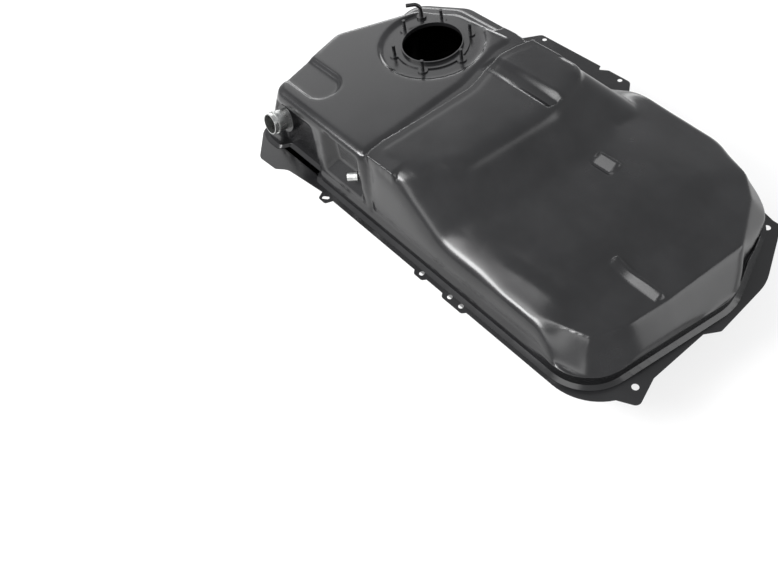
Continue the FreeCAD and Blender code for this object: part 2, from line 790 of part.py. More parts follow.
final(combine("Cut", "upper_shell_cut", upper_sheet, upper_holes), "upper_shell")

# Lower half: pressed pan and wide flange with tabs.
final(combine("Cut", "lower_shell_cut", combine("Fuse", "lower_solid", pan_outer, lower_flange()), pan_inner),
      "lower_shell")


def stud_spots():
    """Centres of the pump studs, evenly spaced on their circle."""
    count = int(SIZE["stud_count"])
    turns = [SIZE["stud_turn"] + 360 * i / count for i in range(count)]
    return [("Sizes.stud_circle * cos(%.4f)" % turn, "Sizes.stud_circle * sin(%.4f)" % turn) for turn in turns]


# Pump ring with a lobe under each stud and a rolled lip round the opening.
lobes = [cylinder("lobe%d" % i, "Sizes.lobe_radius", "Sizes.ring_sheet", x, y, seat_level)
         for i, (x, y) in enumerate(stud_spots())]
ring_plate = cylinder("ring_plate", "Sizes.ring_radius", "Sizes.ring_sheet", z=seat_level)
lip = cylinder("ring_lip", "Sizes.opening_radius + Sizes.lip_wall", "Sizes.ring_sheet + Sizes.lip_height",
               z=seat_level)
opening = cylinder("ring_opening", "Sizes.opening_radius", "40", z=seat_level + " - 20")
final(combine("Cut", "ring_cut", combine("Fuse", "ring_solid", ring_plate, lip, *lobes), opening), "pump_mount_ring")
studs = [cylinder("stud%d" % i, "Sizes.stud_radius", "Sizes.stud_height", x, y, seat_level + " + Sizes.ring_sheet")
         for i, (x, y) in enumerate(stud_spots())]
stud_group = doc.addObject("Part::Compound", "stud_group")
stud_group.Links = studs
final(stud_group, "pump_studs")

# Filler neck with a hose bead near its open end, in a collar that follows the wall.
neck_tube = combine(
    "Fuse", "neck_tube",
    rod("neck_outside", "Sizes.neck_radius", neck_origin, neck_way, "-Sizes.neck_inside", "Sizes.neck_length"),
    rod("neck_bead", "Sizes.neck_radius + Sizes.bead_radius", neck_origin, neck_way,
        "Sizes.neck_length - 12", "Sizes.neck_length - 9"),
)
neck_bore = rod("neck_bore", "Sizes.neck_radius - Sizes.neck_wall", neck_origin, neck_way,
                "-Sizes.neck_inside - 1", "Sizes.neck_length + 1")
final(combine("Cut", "neck_cut", neck_tube, neck_bore), "filler_neck")
collar_ring = pipe("collar_ring", "Sizes.collar_radius", "(Sizes.collar_radius - Sizes.neck_radius)",
                   neck_origin, neck_way, "-20", "Sizes.collar_length")
final(combine("Cut", "collar_cut", collar_ring, pressed_outer), "filler_neck_collar")

# Bent vent pipe on its boss.
vent_start = Vector(SIZE["vent_x"], SIZE["vent_y"], value(seat_level) - 12)
vent_top = vent_start + Vector(0, 0, 12 + SIZE["boss_height"] + SIZE["vent_rise"])
vent_way = heading(SIZE["vent_heading"])
bend = SIZE["vent_bend"]
bend_end = vent_top + vent_way * bend + Vector(0, 0, bend)
bend_middle = vent_top + vent_way * (bend * (1 - math.cos(math.pi / 4))) + Vector(0, 0, bend * math.sin(math.pi / 4))
vent_path = Part.Wire([
    Part.LineSegment(vent_start, vent_top).toShape(),
    Part.Arc(vent_top, bend_middle, bend_end).toShape(),
    Part.LineSegment(bend_end, bend_end + vent_way * SIZE["vent_run"]).toShape(),
])
final(bent_pipe("vent_pipe_shape", vent_path, SIZE["vent_radius"], SIZE["vent_wall"]), "vent_pipe")
boss = cylinder("boss_solid", "Sizes.boss_radius", "Sizes.boss_height", "Sizes.vent_x", "Sizes.vent_y", seat_level)
boss_bore = cylinder("boss_bore", "Sizes.vent_radius", "30", "Sizes.vent_x", "Sizes.vent_y", seat_level + " - 10")
final(combine("Cut", "boss_cut", boss, boss_bore), "vent_pipe_boss")

# Breather nipple in the side pocket with its push-on cap.
final(pipe("nipple_tube", "Sizes.nipple_radius", "Sizes.nipple_wall", nipple_origin, nipple_way,
           "-Sizes.nipple_inside", "Sizes.cap_start + Sizes.cap_length - Sizes.cap_end"), "breather_nipple")
cap_solid = rod("cap_solid", "Sizes.cap_radius", nipple_origin, nipple_way, "Sizes.cap_start",
                "Sizes.cap_start + Sizes.cap_length")
cap_bore = rod("cap_bore", "Sizes.nipple_radius", nipple_origin, nipple_way, "Sizes.cap_start - 1",
               "Sizes.cap_start + Sizes.cap_length - Sizes.cap_end")
final(combine("Cut", "cap_cut", cap_solid, cap_bore), "breather_cap")


def baffle(name, place):
    """Cross plate that stands on the belly floor on a bent foot, with three flow holes."""
    near = SIZE["near_reach"] - SIZE["baffle_inset"]
    width = "Sizes.near_reach - Sizes.baffle_inset + Sizes.baffle_far"
    web = doc.addObject("Part::Box", name + "_web")
    foot = doc.addObject("Part::Box", name + "_foot")
    for box, length, height in ((web, "Sizes.sheet", "Sizes.baffle_height"),
                                (foot, "Sizes.baffle_foot", "Sizes.sheet")):
        box.setExpression("Length", length)
        box.setExpression("Width", width)
        box.setExpression("Height", height)
        box.setExpression("Placement.Base.x", place)
        box.setExpression("Placement.Base.y", "Sizes.baffle_inset - Sizes.near_reach")
        box.setExpression("Placement.Base.z", "Sizes.sheet")
    origin = Vector(value(place), (SIZE["baffle_far"] - near) / 2, SIZE["baffle_height"] / 2)
    pitch = (near + SIZE["baffle_far"]) / 3
    holes = [rod("%s_hole%d" % (name, i), "Sizes.baffle_hole", origin + Vector(0, (i - 1) * pitch, 0),
                 Vector(1, 0, 0), "-Sizes.baffle_foot", "Sizes.baffle_foot") for i in range(3)]
    return combine("Cut", name + "_cut", combine("Fuse", name + "_solid", web, foot),
                   combine("Fuse", name + "_holes", *holes))


final(baffle("front_baffle", "Sizes.baffle_first"), "baffle_pump_side")
final(baffle("rear_baffle", "Sizes.baffle_first + Sizes.baffle_pitch"), "baffle_shallow_side")

# Open pot that keeps fuel round the pump.
pot_solid = cylinder("pot_solid", "Sizes.pot_radius", "Sizes.pot_height", z="Sizes.sheet")
pot_hollow = cylinder("pot_hollow", "Sizes.pot_radius - Sizes.sheet", "Sizes.pot_height", z="2 * Sizes.sheet")
final(combine("Cut", "pot_cut", pot_solid, pot_hollow), "pump_pot")

doc.recompute()
for item in doc.Objects:
    failed = "Invalid" in item.State or "Error" in item.State
    if failed or (hasattr(item, "Shape") and item.Shape.isNull()):
        raise RuntimeError("%s failed: %s" % (item.Name, item.State))
for item in finished:
    if not item.Shape.isValid():
        raise RuntimeError("%s has an invalid shape" % item.Label)

os.makedirs("parts", exist_ok=True)
for item in finished:
    item.Shape.exportStep("parts/%s.step" % item.Label)
    print(item.Label, len(item.Shape.Solids), round(item.Shape.Volume))
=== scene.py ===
"""Studio scene of a pressed-steel car fuel tank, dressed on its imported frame."""

import logging
import math
from dataclasses import dataclass, field
from enum import Enum

import bmesh
import bpy
from mathutils import Matrix, Vector


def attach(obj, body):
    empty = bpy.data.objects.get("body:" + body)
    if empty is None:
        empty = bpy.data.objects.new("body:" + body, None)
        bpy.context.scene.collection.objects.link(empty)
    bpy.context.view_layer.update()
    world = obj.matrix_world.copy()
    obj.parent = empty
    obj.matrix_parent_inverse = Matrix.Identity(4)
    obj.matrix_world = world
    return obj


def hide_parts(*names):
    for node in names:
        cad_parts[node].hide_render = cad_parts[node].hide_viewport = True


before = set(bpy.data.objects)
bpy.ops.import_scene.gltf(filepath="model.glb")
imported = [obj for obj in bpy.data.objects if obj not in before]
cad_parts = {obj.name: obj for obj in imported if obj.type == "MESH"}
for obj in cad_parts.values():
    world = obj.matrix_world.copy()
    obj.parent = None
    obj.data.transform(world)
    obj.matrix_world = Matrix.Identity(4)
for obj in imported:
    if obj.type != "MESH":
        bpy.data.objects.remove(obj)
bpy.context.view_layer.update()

LOG = logging.getLogger("fuel tank")
MM = 0.001
ROOT_BODY = "root"
SEAM_LEVEL = 110 * MM
SHEET = 1.2 * MM


class Side(Enum):
    """Which stamped half of the tank a shell belongs to."""

    UPPER = 1
    LOWER = -1


def colour(code: str) -> tuple[float, float, float, float]:
    """Turn an sRGB hex value into a linear colour.

    Args:
        code: Six hex digits, such as "1a1a1b".

    Returns:
        Linear red, green, blue and an alpha of one.
    """
    parts = [int(code[i:i + 2], 16) / 255 for i in (0, 2, 4)]
    linear = [p / 12.92 if p <= 0.04045 else ((p + 0.055) / 1.055) ** 2.4 for p in parts]
    return (*linear, 1.0)


def add_node(material: bpy.types.Material, kind: str, settings: dict | None = None, links: dict | None = None,
             **values: object) -> bpy.types.Node:
    """Add one shader node with its settings, input values and incoming links.

    Args:
        material: Material that gets the node.
        kind: Blender's type name of the node.
        settings: Attributes of the node, such as its operation.
        links: Input name or number to the output socket that feeds it.
        values: Input name, with underscores for spaces, to its value.

    Returns:
        The new node.
    """
    tree = material.node_tree
    node = tree.nodes.new(kind)
    for name, setting in (settings or {}).items():
        setattr(node, name, setting)
    for name, number in values.items():
        node.inputs[name.replace("_", " ")].default_value = number
    for name, socket in (links or {}).items():
        tree.links.new(socket, node.inputs[name])
    return node


def ramp(material: bpy.types.Material, source: bpy.types.NodeSocket,
         stops: list[tuple[float, tuple]]) -> bpy.types.NodeSocket:
    """Map a number through a colour ramp.

    Args:
        material: Material that gets the ramp.
        source: Output that drives it.
        stops: Place and linear colour of each stop, in order.

    Returns:
        The ramp's colour output.
    """
    node = add_node(material, "ShaderNodeValToRGB", links={"Fac": source})
    node.color_ramp.elements[0].position, node.color_ramp.elements[0].color = stops[0]
    node.color_ramp.elements[1].position, node.color_ramp.elements[1].color = stops[-1]
    for place, tint in stops[1:-1]:
        node.color_ramp.elements.new(place).color = tint
    return node.outputs["Color"]


def grey(level: float) -> tuple[float, float, float, float]:
    """Linear grey of a level."""
    return (level, level, level, 1.0)


@dataclass(frozen=True)
class Finish:
    """What every surface finish shares: its name and base material."""

    name: str

    def start(self) -> tuple[bpy.types.Material, bpy.types.Node, bpy.types.NodeSocket]:
        """Make an empty material with its shader.

        Returns:
            The material, its principled shader and the object coordinates.
        """
        material = bpy.data.materials.new(self.name)
        material.use_nodes = True
        material.node_tree.nodes.clear()
        shader = add_node(material, "ShaderNodeBsdfPrincipled")
        add_node(material, "ShaderNodeOutputMaterial", links={"Surface": shader.outputs["BSDF"]})
        place = add_node(material, "ShaderNodeTexCoord").outputs["Object"]
        return material, shader, place


@dataclass(frozen=True)
class DipCoat(Finish):
    """Black epoxy dip coat on pressed steel: a deep black with a soft, slightly uneven sheen."""

    name: str = "black_epoxy_dip_coat"
    deep: str = "131314"
    dusty: str = "1c1c1d"
    sheen_low: float = 0.2
    sheen_high: float = 0.28
    flow_mm: float = 90.0
    peel_mm: float = 1.6
    peel_depth_mm: float = 0.004

    def build(self) -> bpy.types.Material:
        """Make the coat with its drifting tint and sheen and fine orange peel."""
        material, shader, place = self.start()
        links = material.node_tree.links
        drift = add_node(material, "ShaderNodeTexNoise", links={"Vector": place},
                         Scale=1 / (self.flow_mm * MM), Detail=3.0, Roughness=0.6)
        tint = ramp(material, drift.outputs["Fac"], [(0.35, colour(self.deep)), (0.7, colour(self.dusty))])
        links.new(tint, shader.inputs["Base Color"])
        sheen = ramp(material, drift.outputs["Fac"], [(0.3, grey(self.sheen_low)), (0.72, grey(self.sheen_high))])
        links.new(sheen, shader.inputs["Roughness"])
        peel = add_node(material, "ShaderNodeTexNoise", links={"Vector": place},
                        Scale=1 / (self.peel_mm * MM), Detail=2.0)
        bump = add_node(material, "ShaderNodeBump", links={"Height": peel.outputs["Fac"]},
                        Strength=0.5, Distance=self.peel_depth_mm * MM)
        links.new(bump.outputs["Normal"], shader.inputs["Normal"])
        return material


@dataclass(frozen=True)
class GlossCoat(Finish):
    """Glossy black paint on the turned and bent fittings."""

    name: str = "gloss_black_paint"
    deep: str = "101011"
    worn: str = "2a2a2b"
    patch_mm: float = 12.0

    def build(self) -> bpy.types.Material:
        """Make the paint with faint scuffs."""
        material, shader, place = self.start()
        links = material.node_tree.links
        patch = add_node(material, "ShaderNodeTexNoise", links={"Vector": place},
                         Scale=1 / (self.patch_mm * MM), Detail=4.0, Roughness=0.65)
        links.new(ramp(material, patch.outputs["Fac"], [(0.45, colour(self.deep)), (0.8, colour(self.worn))]),
                  shader.inputs["Base Color"])
        links.new(ramp(material, patch.outputs["Fac"], [(0.3, grey(0.18)), (0.75, grey(0.32))]),
                  shader.inputs["Roughness"])
        bump = add_node(material, "ShaderNodeBump", links={"Height": patch.outputs["Fac"]},
                        Strength=0.3, Distance=0.02 * MM)
        links.new(bump.outputs["Normal"], shader.inputs["Normal"])
        return material


@dataclass(frozen=True)
class PlatedSteel(Finish):
    """Zinc-plated steel: a pale, cool metal with a fine turned grain."""

    name: str = "zinc_plated_steel"
    bright: str = "c9cac8"
    dull: str = "8f9190"
    cloud_mm: float = 9.0
    grain_mm: float = 0.5
    rough_low: float = 0.22
    rough_high: float = 0.42

    def build(self) -> bpy.types.Material:
        """Make the plating with its clouds and grain."""
        material, shader, place = self.start()
        links = material.node_tree.links
        shader.inputs["Metallic"].default_value = 1.0
        cloud = add_node(material, "ShaderNodeTexNoise", links={"Vector": place},
                         Scale=1 / (self.cloud_mm * MM), Detail=4.0, Roughness=0.6)
        grain = add_node(material, "ShaderNodeTexNoise", links={"Vector": place},
                         Scale=1 / (self.grain_mm * MM), Detail=2.0)
        links.new(ramp(material, cloud.outputs["Fac"], [(0.3, colour(self.dull)), (0.65, colour(self.bright))]),
                  shader.inputs["Base Color"])
        links.new(ramp(material, cloud.outputs["Fac"], [(0.3, grey(self.rough_high)), (0.7, grey(self.rough_low))]),
                  shader.inputs["Roughness"])
        bump = add_node(material, "ShaderNodeBump", links={"Height": grain.outputs["Fac"]},
                        Strength=0.4, Distance=0.01 * MM)
        links.new(bump.outputs["Normal"], shader.inputs["Normal"])
        return material


@dataclass(frozen=True)
class PlainSteel(Finish):
    """Bare steel sheet inside the tank: dull grey with faint rolling clouds."""

    name: str = "plain_steel_sheet"
    bright: str = "77787a"
    dull: str = "5c5d60"
    cloud_mm: float = 30.0

    def build(self) -> bpy.types.Material:
        """Make the sheet with its clouds."""
        material, shader, place = self.start()
        links = material.node_tree.links
        shader.inputs["Metallic"].default_value = 0.9
        cloud = add_node(material, "ShaderNodeTexNoise", links={"Vector": place},
                         Scale=1 / (self.cloud_mm * MM), Detail=5.0, Roughness=0.6)
        links.new(ramp(material, cloud.outputs["Fac"], [(0.3, colour(self.dull)), (0.7, colour(self.bright))]),
                  shader.inputs["Base Color"])
        links.new(ramp(material, cloud.outputs["Fac"], [(0.3, grey(0.45)), (0.7, grey(0.6))]),
                  shader.inputs["Roughness"])
        return material


@dataclass(frozen=True)
class StudioFloor(Finish):
    """White seamless paper that the tank stands on, clear from below so that the belly can be seen."""

    name: str = "white_paper"
    white: str = "fafafa"
    fleck: str = "f4f4f4"

    def build(self) -> bpy.types.Material:
        """Make the paper, which shows white to the camera and keeps a light shadow."""
        material, shader, place = self.start()
        links = material.node_tree.links
        noise = add_node(material, "ShaderNodeTexNoise", links={"Vector": place}, Scale=3.0, Detail=3.0)
        links.new(ramp(material, noise.outputs["Fac"], [(0.3, colour(self.fleck)), (0.7, colour(self.white))]),
                  shader.inputs["Base Color"])
        shader.inputs["Roughness"].default_value = 0.9
        shader.inputs["Specular IOR Level"].default_value = 0.0
        path = add_node(material, "ShaderNodeLightPath")
        seen = add_node(material, "ShaderNodeMath", {"operation": "MAXIMUM"})
        links.new(path.outputs["Is Camera Ray"], seen.inputs[0])
        links.new(path.outputs["Is Glossy Ray"], seen.inputs[1])
        clear = add_node(material, "ShaderNodeMath", {"operation": "MAXIMUM"})
        links.new(seen.outputs[0], clear.inputs[0])
        links.new(path.outputs["Is Transmission Ray"], clear.inputs[1])
        share = add_node(material, "ShaderNodeMath", {"operation": "MULTIPLY"})
        links.new(clear.outputs[0], share.inputs[0])
        share.inputs[1].default_value = 0.72
        glow = add_node(material, "ShaderNodeEmission", Color=colour("ffffff"), Strength=1.0)
        mix = add_node(material, "ShaderNodeMixShader")
        links.new(share.outputs[0], mix.inputs[0])
        links.new(shader.outputs["BSDF"], mix.inputs[1])
        links.new(glow.outputs[0], mix.inputs[2])
        sides = add_node(material, "ShaderNodeMixShader")
        links.new(add_node(material, "ShaderNodeNewGeometry").outputs["Backfacing"], sides.inputs[0])
        links.new(mix.outputs[0], sides.inputs[1])
        links.new(add_node(material, "ShaderNodeBsdfTransparent").outputs[0], sides.inputs[2])
        out = next(n for n in material.node_tree.nodes if n.type == "OUTPUT_MATERIAL")
        links.new(sides.outputs[0], out.inputs["Surface"])
        return material


def new_piece(name: str, bm: bmesh.types.BMesh, material: bpy.types.Material) -> bpy.types.Object:
    """Turn a bmesh into a smooth-shaded object in the scene.

    Args:
        name: Name of the piece.
        bm: Its shape, which is freed.
        material: Its finish.

    Returns:
        The new object.
    """
    mesh = bpy.data.meshes.new(name)
    for face in bm.faces:
        face.smooth = True
    bm.to_mesh(mesh)
    bm.free()
    mesh.materials.append(material)
    piece = bpy.data.objects.new(name, mesh)
    bpy.context.collection.objects.link(piece)
    return piece


def settle(piece: bpy.types.Object, node: str) -> None:
    """Let a piece ride on the tank and stand for a node of the frame."""
    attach(piece, ROOT_BODY)
    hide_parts(node)
    LOG.info("%s: %d faces, in place of %s", piece.name, len(piece.data.polygons), node)


@dataclass
class Hole:
    """A round hole through a shell: a point on its axis, the axis, its radius and its reach."""

    point: Vector
    way: Vector
    radius: float
    reach: float = 40 * MM

    def distance(self, spot: Vector) -> tuple[float, float]:
        """Distance of a spot from the axis, and its place along the axis."""
        along = (spot - self.point).dot(self.way)
        return (spot - self.point - self.way * along).length, along

    def holds(self, face: bmesh.types.BMFace, slack: float = 0.5 * MM) -> bool:
        """Whether a face belongs to the hole's own wall."""
        radial, along = self.distance(face.calc_center_median())
        close = abs(radial - self.radius) < slack and abs(along) < self.reach
        return close and abs(face.normal.dot(self.way)) < 0.3


NECK_WAY = Vector((0, -math.cos(math.radians(15)), math.sin(math.radians(15))))
NIPPLE_WAY = Vector((math.cos(math.radians(225)), math.sin(math.radians(225)), 0))
PUMP_HOLE = Hole(Vector((0, 0, 0.23)), Vector((0, 0, 1)), 55.5 * MM)
NECK_HOLE = Hole(Vector((-0.1, -0.264, 0.2)), NECK_WAY, 18.8 * MM)
UPPER_HOLES = [
    PUMP_HOLE,
    Hole(Vector((-0.076, 0.041, 0.23)), Vector((0, 0, 1)), 3.8 * MM),
    NECK_HOLE,
    Hole(Vector((0.093, -0.257, 0.174)), NIPPLE_WAY, 3.3 * MM),
]


def soften(bm: bmesh.types.BMesh, verts: list[bmesh.types.BMVert], passes: int) -> None:
    """Smooth corners a number of times.

    Args:
        bm: The mesh.
        verts: Corners to move.
        passes: How often.
    """
    for _ in range(passes):
        bmesh.ops.smooth_vert(bm, verts=verts, factor=0.5, use_axis_x=True, use_axis_y=True, use_axis_z=True)


def smooth_step(number: float) -> float:
    """Soft step from 0 to 1."""
    number = min(max(number, 0.0), 1.0)
    return number * number * (3 - 2 * number)


@dataclass(frozen=True)
class Pad:
    """A small pressed form: a raised strip or dish between two points, with soft sides.

    The strip rises towards the filler side's lower edge when lean is not zero.
    """

    start: tuple[float, float]
    end: tuple[float, float]
    half_width: float
    rise: float
    soft_side: float
    soft_end: float
    lean: float = 0.0
    end_rise: float = 0.0

    def height(self, spot: Vector) -> float:
        """Height that the form adds at a spot.

        Args:
            spot: Point of the sheet.

        Returns:
            Metres above the plain sheet.
        """
        start, end = Vector((*self.start, 0)), Vector((*self.end, 0))
        way = end - start
        length = way.length
        way.normalize()
        across_way = Vector((-way.y, way.x, 0))
        flat = Vector((spot.x, spot.y, 0)) - start
        along, across = flat.dot(way), flat.dot(across_way)
        side = smooth_step((self.half_width + self.soft_side / 2 - abs(across)) / self.soft_side)
        tips = smooth_step((along + self.soft_end / 2) / self.soft_end)
        tips *= smooth_step((length + self.soft_end / 2 - along) / self.soft_end)
        rise = self.rise + self.end_rise * along / length - self.lean * across / self.half_width
        return rise * side * tips


@dataclass(frozen=True)
class Soft:
    """A box of the sheet whose forms are drawn out softly: its corners and the number of passes."""

    low: tuple[float, float, float]
    high: tuple[float, float, float]
    passes: int

    def relax(self, bm: bmesh.types.BMesh) -> None:
        """Smooth the corners inside the box."""
        held = [v for v in bm.verts if all(a < c < b for a, c, b in zip(self.low, v.co, self.high))]
        soften(bm, held, self.passes)


@dataclass(frozen=True)
class StepLine:
    """The small step between the pump deck and the hump beside it, as x places over y."""

    spots: tuple[tuple[float, float], ...] = (
        (-0.275, 0.133), (-0.253, 0.123), (-0.221, 0.121), (-0.138, 0.131), (-0.043, 0.138), (-0.014, 0.132),
        (0.020, 0.121), (0.054, 0.117), (0.087, 0.123), (0.116, 0.133))
    deck_level: float = 0.2468
    hump_level: float = 0.2525
    lowest: float = 0.19
    near_margin: float = 0.012
    recess_radius: float = 0.099
    reach: float = 0.07
    ramp: float = 0.0035

    def place(self, y: float) -> float:
        """Place of the step on a line across the tank."""
        for (y0, x0), (y1, x1) in zip(self.spots, self.spots[1:]):
            if y <= y1:
                share = max((y - y0) / (y1 - y0), 0.0)
                return x0 + (x1 - x0) * share
        return self.spots[-1][1]

    def fill(self, bm: bmesh.types.BMesh) -> None:
        """Lift the sheet between the deck and the hump up to their levels."""
        for vert in bm.verts:
            x, y, z = vert.co
            off = x - self.place(y)
            beside = abs(off) <= self.reach and self.spots[0][0] + self.near_margin < y < self.spots[-1][0]
            in_recess = off < 0 and math.hypot(x, y) < self.recess_radius
            level = self.deck_level + (self.hump_level - self.deck_level) * smooth_step(off / self.ramp)
            if beside and not in_recess and self.lowest <= z < level:
                vert.co.z = level


@dataclass(frozen=True)
class ToeBevel:
    """The sloping band round the shallow end: a level top that breaks off at a crisp line."""

    corners: tuple[tuple[float, float], ...] = (
        (0.500, 0.185), (0.547, 0.157), (0.588, 0.116), (0.634, 0.031), (0.620, -0.113), (0.608, -0.185),
        (0.585, -0.240), (0.500, -0.262))
    level: float = 0.181
    slope: float = 1.25
    foot: float = 0.136
    wall_low: float = 0.120
    smooth_low: float = 0.116
    start: float = 0.500
    full: float = 0.575
    passes: int = 16
    spread: float = 0.009

    def outside(self, x: float, y: float) -> tuple[float, Vector]:
        """Distance of a place outside the level top, and the way outwards."""
        found = (-1.0, Vector((1, 0, 0)))
        for (x0, y0), (x1, y1) in zip(self.corners, self.corners[1:]):
            way = Vector((y0 - y1, x1 - x0, 0)).normalized()
            found = max(found, ((x - x0) * way.x + (y - y0) * way.y, way), key=lambda pair: pair[0])
        return found

    def press(self, bm: bmesh.types.BMesh) -> None:
        """Lift the top to its level and slope its edge."""
        for vert in bm.verts:
            x, y, z = vert.co
            if x < self.start or z < self.wall_low + 0.001:
                continue
            share = smooth_step((x - self.start) / (self.full - self.start))
            off, way = self.outside(x, y)
            push = self.spread * share * smooth_step(off / 0.014) * smooth_step((z - self.wall_low) / 0.01)
            vert.co += way * push
            aim = self.level - self.slope * max(off + push, 0.0)
            if vert.normal.z < 0.35:
                vert.co.z = min(z, z + (max(aim, self.foot) - z) * share)
                continue
            vert.co.z = z + (max(aim, self.foot) - z) * share
        edge = [v for v in bm.verts if v.co.x > self.start and v.co.z > self.smooth_low
                and self.outside(v.co.x, v.co.y)[0] > 0.004]
        soften(bm, edge, self.passes)


@dataclass
class Shell:
    """One stamped half, remade from its solid as an even, softly rounded sheet."""

    side: Side
    node: str
    cell: float = 2.9 * MM
    softness: int = 3
    punched: list[Hole] = field(default_factory=list)
    pads: list[Pad] = field(default_factory=list)
    softs: list[Soft] = field(default_factory=list)
    inner_share: float = 0.12
    seam: float = SEAM_LEVEL

    @staticmethod
    def linked(start: bmesh.types.BMVert) -> set[bmesh.types.BMVert]:
        """All corners that edges join to a first one."""
        wanted, fresh = {start}, [start]
        while fresh:
            vert = fresh.pop()
            for edge in vert.link_edges:
                other = edge.other_vert(vert)
                if other not in wanted:
                    wanted.add(other)
                    fresh.append(other)
        return wanted

    def outer_skin(self) -> bmesh.types.BMesh:
        """Take the outside of the stamped sheet, without its flange and hole walls.

        Returns:
            A closed volume that reaches a little past the seam.
        """
        sign = self.side.value
        bm = bmesh.new()
        bm.from_mesh(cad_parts[self.node].data)
        bmesh.ops.remove_doubles(bm, verts=bm.verts, dist=0.005 * MM)
        limit = SEAM_LEVEL + sign * (SHEET + 0.05 * MM)
        low = [f for f in bm.faces if all(sign * (v.co.z - limit) <= 0 for v in f.verts)]
        walls = [f for f in bm.faces if any(hole.holds(f) for hole in self.punched)]
        bmesh.ops.delete(bm, geom=list(set(low + walls)), context="FACES")
        wanted = self.linked(max(bm.verts, key=lambda v: sign * v.co.z))
        bmesh.ops.delete(bm, geom=[v for v in bm.verts if v not in wanted], context="VERTS")
        foot = [e for e in bm.edges if e.is_boundary and all(abs(v.co.z - limit) < 0.5 * MM for v in e.verts)]
        made = bmesh.ops.extrude_edge_only(bm, edges=foot)["geom"]
        below = [v for v in made if isinstance(v, bmesh.types.BMVert)]
        bmesh.ops.translate(bm, verts=below, vec=(0, 0, -sign * 6 * self.cell))
        bmesh.ops.edgeloop_fill(bm, edges=[e for e in bm.edges if e.is_boundary])
        bmesh.ops.recalc_face_normals(bm, faces=bm.faces)
        return bm

    def even(self, bm: bmesh.types.BMesh) -> bmesh.types.BMesh:
        """Remake a closed volume with even cells.

        Args:
            bm: The volume, which is freed.

        Returns:
            The same form in even quads, softened.
        """
        rough = new_piece("rough", bm, bpy.data.materials[0])
        remesh = rough.modifiers.new("even", "REMESH")
        remesh.mode = "VOXEL"
        remesh.voxel_size = self.cell
        fresh = bmesh.new()
        fresh.from_object(rough, bpy.context.evaluated_depsgraph_get())
        bpy.data.objects.remove(rough)
        soften(fresh, fresh.verts[:], self.softness)
        return fresh

    def sheet(self, material: bpy.types.Material, name: str) -> bpy.types.Object:
        """Build the half's sheet down to the seam, with its small pressed forms and wall thickness.

        Args:
            material: Its finish.
            name: Name of the piece.

        Returns:
            The new piece.
        """
        sign = self.side.value
        bm = self.even(self.outer_skin())
        self.shape(bm)
        for vert in bm.verts:
            if sign * (vert.co.z - SEAM_LEVEL) > 0.03:
                vert.co.z += sign * sum(pad.height(vert.co) for pad in self.pads)
        geometry = bm.verts[:] + bm.edges[:] + bm.faces[:]
        bmesh.ops.bisect_plane(bm, geom=geometry, plane_co=(0, 0, self.seam), plane_no=(0, 0, sign), clear_inner=True)
        for hole in self.punched:
            if hole.radius > 10 * MM:
                self.punch(bm, hole)
        self.add_flange(bm)
        piece = new_piece(name, bm, material)
        group = piece.vertex_groups.new(name="inside")
        wall = piece.modifiers.new("wall", "SOLIDIFY")
        wall.thickness = SHEET
        wall.offset = -1
        wall.shell_vertex_group = group.name
        thin = piece.modifiers.new("coarse inside", "DECIMATE")
        thin.ratio = (1 + self.inner_share) / 2
        thin.vertex_group = group.name
        return piece

    def shape(self, bm: bmesh.types.BMesh) -> None:
        """Draw the soft places of the half."""
        for soft in self.softs:
            soft.relax(bm)

    def add_flange(self, bm: bmesh.types.BMesh) -> None:
        """Shells have no flange of their own unless they say so."""

    @staticmethod
    def punch(bm: bmesh.types.BMesh, hole: Hole) -> None:
        """Cut a round hole and true its rim."""
        inside = [v for v in bm.verts
                  if hole.distance(v.co)[0] < hole.radius and abs(hole.distance(v.co)[1]) < hole.reach]
        bmesh.ops.delete(bm, geom=inside, context="VERTS")
        for vert in bm.verts:
            radial, along = hole.distance(vert.co)
            if vert.is_boundary and radial < hole.radius + 8 * MM and abs(along) < hole.reach:
                foot = hole.point + hole.way * along
                vert.co = foot + (vert.co - foot).normalized() * (hole.radius + 0.2 * MM)


@dataclass
class UpperHalf(Shell):
    """The upper half, with the narrow flange that runs all round its foot."""

    flange_width: float = 9 * MM

    def shape(self, bm: bmesh.types.BMesh) -> None:
        """Draw the soft places, and close the gully between deck and hump up to the small step."""
        super().shape(bm)
        bm.normal_update()
        ToeBevel().press(bm)
        step = StepLine()
        step.fill(bm)
        for _ in range(2):
            soften(bm, [v for v in bm.verts if v.co.z > 0.13
                        and abs(v.co.x - step.place(v.co.y) - 0.002) >= 0.006], 1)

    def add_flange(self, bm: bmesh.types.BMesh) -> None:
        """Turn the foot outwards into the narrow flange.

        Args:
            bm: The half's sheet, open at its foot.
        """
        foot = [e for e in bm.edges if e.is_boundary and all(abs(v.co.z - self.seam) < 0.2 * MM for v in e.verts)]
        outward = {}
        for edge in foot:
            normal = edge.link_faces[0].normal
            for vert in edge.verts:
                outward[vert] = outward.get(vert, Vector()) + Vector((normal.x, normal.y, 0))
        made = bmesh.ops.extrude_edge_only(bm, edges=foot)["geom"]
        fresh = [v for v in made if isinstance(v, bmesh.types.BMVert)]
        for vert in fresh:
            base = next(e.other_vert(vert) for e in vert.link_edges if e.other_vert(vert) in outward)
            vert.co += outward[base].normalized() * self.flange_width


